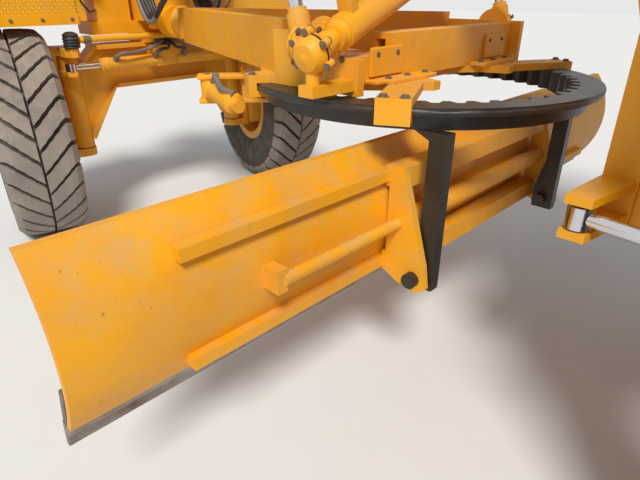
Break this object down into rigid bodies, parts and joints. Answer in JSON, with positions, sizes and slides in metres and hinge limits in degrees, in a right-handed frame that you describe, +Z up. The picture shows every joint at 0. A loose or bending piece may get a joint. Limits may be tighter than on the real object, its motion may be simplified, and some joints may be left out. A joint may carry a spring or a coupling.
{
  "type": "motor grader",
  "caption": "Articulated motor grader: engine and cab at the rear, arched front frame, hydraulic drawbar with toothed circle and curved blade, steered front wheels.",
  "frame": {"origin": "on the ground below the middle of the machine's length and width", "axes": "+X forward, +Y to the machine's left, +Z up"},
  "size_m": [8.8, 3.66, 3.2389],
  "materials": {
    "yellow": "satin, dusty",
    "dark_paint": "matt",
    "dark_plastic": "matt",
    "engine_iron": "rough",
    "ring_iron": "greasy",
    "tyre_rubber": "dusty",
    "rod_chrome": "polished",
    "cab_pane": "clear",
    "seat_cloth": "woven"
  },
  "bodies": {
    "rear_frame": {"rear_frame": "yellow", "rear_bumper": "yellow", "engine_block": "engine_iron", "engine_hood": "yellow", "rear_grille": "dark_paint", "exhaust_stack": "dark_paint", "fuel_tank": "yellow", "tandem_axle": "yellow", "cab_floor": "dark_paint", "cab_shell": "yellow", "cab_roof": "yellow", "cab_glass": "cab_pane", "seat": "seat_cloth", "steering_console": "dark_plastic", "steps": "dark_paint"},
    "front_frame": {"front_frame": "yellow", "lift_saddle": "yellow", "tread_plate_boxes": "yellow", "head_lamps": "dark_paint", "front_axle": "yellow"},
    "wheel_middle_left": {"tyre_middle_left": "tyre_rubber", "rim_middle_left": "yellow"},
    "wheel_middle_right": {"tyre_middle_right": "tyre_rubber", "rim_middle_right": "yellow"},
    "wheel_rear_left": {"tyre_rear_left": "tyre_rubber", "rim_rear_left": "yellow"},
    "wheel_rear_right": {"tyre_rear_right": "tyre_rubber", "rim_rear_right": "yellow"},
    "door_left": {"door_left": "yellow", "door_glass_left": "cab_pane"},
    "door_right": {"door_right": "yellow", "door_glass_right": "cab_pane"},
    "articulation_barrel_left": {"articulation_barrel_left": "yellow"},
    "articulation_rod_left": {"articulation_rod_left": "rod_chrome"},
    "articulation_barrel_right": {"articulation_barrel_right": "yellow"},
    "articulation_rod_right": {"articulation_rod_right": "rod_chrome"},
    "knuckle_left": {"knuckle_left": "yellow"},
    "wheel_front_left": {"tyre_front_left": "tyre_rubber", "rim_front_left": "yellow"},
    "knuckle_right": {"knuckle_right": "yellow"},
    "wheel_front_right": {"tyre_front_right": "tyre_rubber", "rim_front_right": "yellow"},
    "tie_rod": {"tie_rod": "yellow"},
    "steer_rod_left": {"steer_rod_left": "rod_chrome"},
    "steer_rod_right": {"steer_rod_right": "rod_chrome"},
    "drawbar_ball": {"drawbar_ball": "ring_iron"},
    "drawbar": {"drawbar": "yellow"},
    "lift_yoke_left": {"lift_yoke_left": "yellow"},
    "lift_barrel_left": {"lift_barrel_left": "yellow"},
    "lift_rod_left": {"lift_rod_left": "rod_chrome"},
    "lift_yoke_right": {"lift_yoke_right": "yellow"},
    "lift_barrel_right": {"lift_barrel_right": "yellow"},
    "lift_rod_right": {"lift_rod_right": "rod_chrome"},
    "shift_barrel": {"shift_barrel": "yellow"},
    "shift_rod": {"shift_rod": "rod_chrome"},
    "blade_circle": {"blade_circle": "ring_iron"},
    "blade_bracket": {"blade_bracket": "yellow"},
    "blade": {"blade": "yellow"}
  },
  "joints": [
    {"name": "wheel_middle_left_spin", "type": "hinge", "parent": "rear_frame", "child": "wheel_middle_left", "pos_m": [-1.69, 1.01, 0.685], "axis": [0, 1, 0], "continuous": true},
    {"name": "wheel_middle_right_spin", "type": "hinge", "parent": "rear_frame", "child": "wheel_middle_right", "pos_m": [-1.69, -1.01, 0.685], "axis": [0, 1, 0], "continuous": true},
    {"name": "wheel_rear_left_spin", "type": "hinge", "parent": "rear_frame", "child": "wheel_rear_left", "pos_m": [-3.21, 1.01, 0.685], "axis": [0, 1, 0], "continuous": true},
    {"name": "wheel_rear_right_spin", "type": "hinge", "parent": "rear_frame", "child": "wheel_rear_right", "pos_m": [-3.21, -1.01, 0.685], "axis": [0, 1, 0], "continuous": true},
    {"name": "door_left_hinge", "type": "hinge", "parent": "rear_frame", "child": "door_left", "pos_m": [-0.94, 0.736, 2.2], "axis": [0, 0, 1], "range_deg": [0, 85]},
    {"name": "door_right_hinge", "type": "hinge", "parent": "rear_frame", "child": "door_right", "pos_m": [-0.94, -0.736, 2.2], "axis": [0, 0, -1], "range_deg": [0, 85]},
    {"name": "articulation", "type": "hinge", "parent": "rear_frame", "child": "front_frame", "pos_m": [0.04, 0, 1.02], "axis": [0, 0, -1], "range_deg": [-20, 20]},
    {"name": "articulation_barrel_left_pin", "type": "hinge", "parent": "rear_frame", "child": "articulation_barrel_left", "pos_m": [-0.61, 0.54, 0.93], "axis": [0, 0, 1], "range_deg": [-7, 7]},
    {"name": "articulation_rod_left_stroke", "type": "slide", "parent": "articulation_barrel_left", "child": "articulation_rod_left", "axis": [0.9873, -0.1589, 0], "range_m": [-0.16, 0.16]},
    {"name": "articulation_barrel_right_pin", "type": "hinge", "parent": "rear_frame", "child": "articulation_barrel_right", "pos_m": [-0.61, -0.54, 0.93], "axis": [0, 0, 1], "range_deg": [-7, 7]},
    {"name": "articulation_rod_right_stroke", "type": "slide", "parent": "articulation_barrel_right", "child": "articulation_rod_right", "axis": [0.9873, 0.1589, 0], "range_m": [-0.16, 0.16]},
    {"name": "steering", "type": "hinge", "parent": "front_frame", "child": "knuckle_left", "pos_m": [3.6, 0.67, 0.685], "axis": [0, 0, 1], "range_deg": [-22, 48]},
    {"name": "wheel_front_left_spin", "type": "hinge", "parent": "knuckle_left", "child": "wheel_front_left", "pos_m": [3.67648, 1.00129, 0.685], "axis": [0.225, 0.9744, 0], "continuous": true},
    {"name": "steering_right", "type": "hinge", "parent": "front_frame", "child": "knuckle_right", "pos_m": [3.6, -0.67, 0.685], "axis": [0, 0, 1], "range_deg": [-22, 48]},
    {"name": "wheel_front_right_spin", "type": "hinge", "parent": "knuckle_right", "child": "wheel_front_right", "pos_m": [3.52352, -1.00129, 0.685], "axis": [0.225, 0.9744, 0], "continuous": true},
    {"name": "tie_rod_travel", "type": "slide", "parent": "front_frame", "child": "tie_rod", "axis": [0, 1, 0], "range_m": [-0.18, 0.09]},
    {"name": "steer_rod_left_stroke", "type": "slide", "parent": "front_frame", "child": "steer_rod_left", "axis": [0, 1, 0], "range_m": [-0.14, 0.07]},
    {"name": "steer_rod_right_stroke", "type": "slide", "parent": "front_frame", "child": "steer_rod_right", "axis": [0, 1, 0], "range_m": [-0.14, 0.07]},
    {"name": "drawbar_swing", "type": "hinge", "parent": "front_frame", "child": "drawbar_ball", "pos_m": [3.18, 0, 1.39], "axis": [0, 0, -1], "range_deg": [-8, 8]},
    {"name": "drawbar_lift", "type": "hinge", "parent": "drawbar_ball", "child": "drawbar", "pos_m": [3.18, 0, 1.39], "axis": [0, -1, 0], "range_deg": [-1, 22]},
    {"name": "lift_yoke_left_pitch", "type": "hinge", "parent": "front_frame", "child": "lift_yoke_left", "pos_m": [1.33, 0.745, 1.99], "axis": [0, 1, 0], "range_deg": [-15, 2]},
    {"name": "lift_barrel_left_roll", "type": "hinge", "parent": "lift_yoke_left", "child": "lift_barrel_left", "pos_m": [1.33, 0.745, 1.99], "axis": [0.9373, -0.3486, 0], "range_deg": [-30, 30]},
    {"name": "lift_rod_left_stroke", "type": "slide", "parent": "lift_barrel_left", "child": "lift_rod_left", "axis": [-0.2524, 0, -0.9676], "range_m": [-0.05, 0.75]},
    {"name": "lift_yoke_right_pitch", "type": "hinge", "parent": "front_frame", "child": "lift_yoke_right", "pos_m": [1.33, -0.745, 1.99], "axis": [0, 1, 0], "range_deg": [-15, 2]},
    {"name": "lift_barrel_right_roll", "type": "hinge", "parent": "lift_yoke_right", "child": "lift_barrel_right", "pos_m": [1.33, -0.745, 1.99], "axis": [0.9373, 0.3486, 0], "range_deg": [-30, 30]},
    {"name": "lift_rod_right_stroke", "type": "slide", "parent": "lift_barrel_right", "child": "lift_rod_right", "axis": [-0.2524, 0, -0.9676], "range_m": [-0.05, 0.75]},
    {"name": "shift_barrel_roll", "type": "hinge", "parent": "drawbar", "child": "shift_barrel", "pos_m": [1.059, 0.82, 1.399], "axis": [1, 0, 0], "range_deg": [-28, 2]},
    {"name": "shift_rod_stroke", "type": "slide", "parent": "shift_barrel", "child": "shift_rod", "axis": [0.1375, -0.9406, 0.3103], "range_m": [-0.27, 0.27]},
    {"name": "circle_turn", "type": "hinge", "parent": "drawbar", "child": "blade_circle", "pos_m": [1.18, 0, 1.195], "axis": [0, 0, 1], "range_deg": [-40, 40]},
    {"name": "blade_tip", "type": "hinge", "parent": "blade_circle", "child": "blade_bracket", "pos_m": [0.72, 0, 0.6], "axis": [0, 1, 0], "range_deg": [-5, 30]},
    {"name": "blade_side_shift", "type": "slide", "parent": "blade_bracket", "child": "blade", "axis": [0, 1, 0], "range_m": [-0.55, 0.55]}
  ],
  "couplings": [
    {"joint": "articulation_barrel_left_pin", "follows": "articulation", "ratio": -0.1671},
    {"joint": "articulation_rod_left_stroke", "follows": "articulation", "m_per_rad": 0.4267},
    {"joint": "articulation_barrel_right_pin", "follows": "articulation", "ratio": -0.1671},
    {"joint": "articulation_rod_right_stroke", "follows": "articulation", "m_per_rad": -0.4267},
    {"joint": "steering_right", "follows": "steering", "ratio": 1},
    {"joint": "tie_rod_travel", "follows": "steering", "m_per_rad": -0.2025},
    {"joint": "steer_rod_left_stroke", "follows": "steering", "m_per_rad": -0.16},
    {"joint": "steer_rod_right_stroke", "follows": "steering", "m_per_rad": -0.16},
    {"joint": "lift_yoke_left_pitch", "follows": "drawbar_lift", "ratio": -0.637},
    {"joint": "lift_barrel_left_roll", "follows": "drawbar_swing", "ratio": 3.55},
    {"joint": "lift_rod_left_stroke", "follows": "drawbar_lift", "m_per_rad": 1.906},
    {"joint": "lift_yoke_right_pitch", "follows": "drawbar_lift", "ratio": -0.637},
    {"joint": "lift_barrel_right_roll", "follows": "drawbar_swing", "ratio": 3.55},
    {"joint": "lift_rod_right_stroke", "follows": "drawbar_lift", "m_per_rad": 1.906},
    {"joint": "shift_barrel_roll", "follows": "drawbar_lift", "ratio": -1.2},
    {"joint": "shift_rod_stroke", "follows": "drawbar_swing", "m_per_rad": 1.848}
  ]
}
